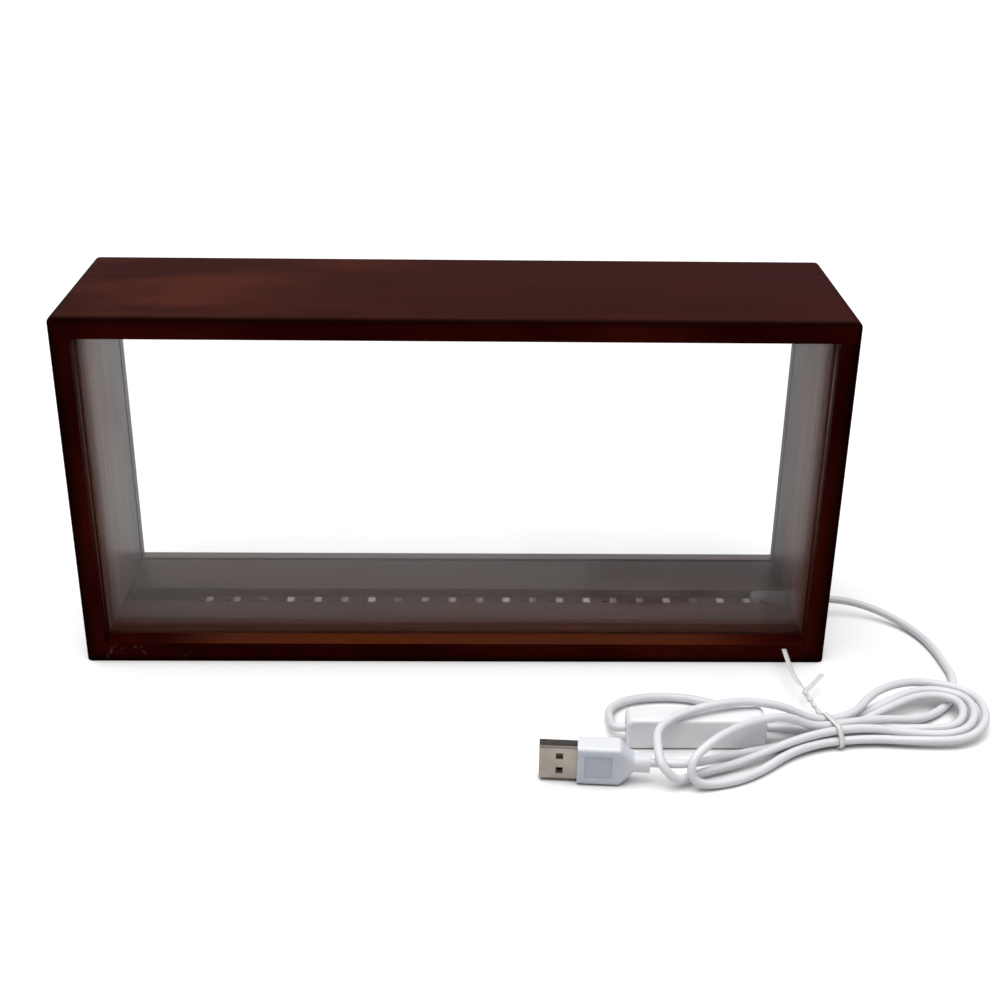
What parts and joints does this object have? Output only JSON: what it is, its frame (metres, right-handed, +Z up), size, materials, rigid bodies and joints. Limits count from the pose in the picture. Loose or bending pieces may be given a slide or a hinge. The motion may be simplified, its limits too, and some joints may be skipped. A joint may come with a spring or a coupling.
{
  "type": "shadow box frame",
  "caption": "Wooden display case with a clear front, a clear sliding back, a strip of lights in its floor, and a USB lead with a push switch tied in a hank.",
  "frame": {"origin": "middle of the case's underside, without the lead", "axes": "+X to the right seen from the front, +Y to the back, +Z up"},
  "size_m": [0.3067, 0.1463, 0.126],
  "materials": {
    "dark_wood": "dark red-brown lacquer",
    "clear_acrylic": "clear and polished",
    "nail_steel": "bright wire",
    "foam_tape": "plain",
    "strip_brown": "dark solder mask",
    "light_white": "moulded",
    "light_lens": "phosphor",
    "resistor_black": "plain",
    "wire_red": "plain",
    "wire_black": "plain",
    "solder": "satin",
    "hot_glue": "cloudy",
    "cord_white": "satin",
    "tie_white": "plain",
    "switch_white": "moulded",
    "contact_brass": "plain",
    "plug_white": "moulded",
    "plug_metal": "plated"
  },
  "bodies": {
    "case": {"top_board": "dark_wood", "floor_board": "dark_wood", "left_board": "dark_wood", "right_board": "dark_wood", "pin_nails": "nail_steel", "front_panel": "clear_acrylic", "strip_tape": "foam_tape", "strip_board": "strip_brown", "strip_lights": "light_white", "strip_lenses": "light_lens", "strip_resistors": "resistor_black", "wire_positive": "wire_red", "wire_negative": "wire_black", "solder_joints": "solder", "end_glue": "hot_glue", "cable_inner": "cord_white", "cable_lead": "cord_white", "cable_hank": "cord_white", "cable_tail": "cord_white", "twist_tie": "tie_white", "switch_front_shell": "switch_white", "switch_rear_shell": "switch_white", "switch_contacts": "contact_brass", "plug_overmould": "plug_white", "plug_shell": "plug_metal", "plug_tongue": "switch_white", "plug_contacts": "contact_brass"},
    "rear_panel": {"rear_panel": "clear_acrylic"},
    "button": {"switch_button": "switch_white", "switch_bridge": "contact_brass"}
  },
  "joints": [
    {"name": "rear_panel_slide", "type": "slide", "parent": "case", "child": "rear_panel", "axis": [-1, 0, 0], "range_m": [0, 0.25]},
    {"name": "switch_button_press", "type": "slide", "parent": "case", "child": "button", "axis": [0, -1, 0], "range_m": [0, 0.001], "stiffness_N_per_m": 1500, "springref_m": -0.0004}
  ]
}
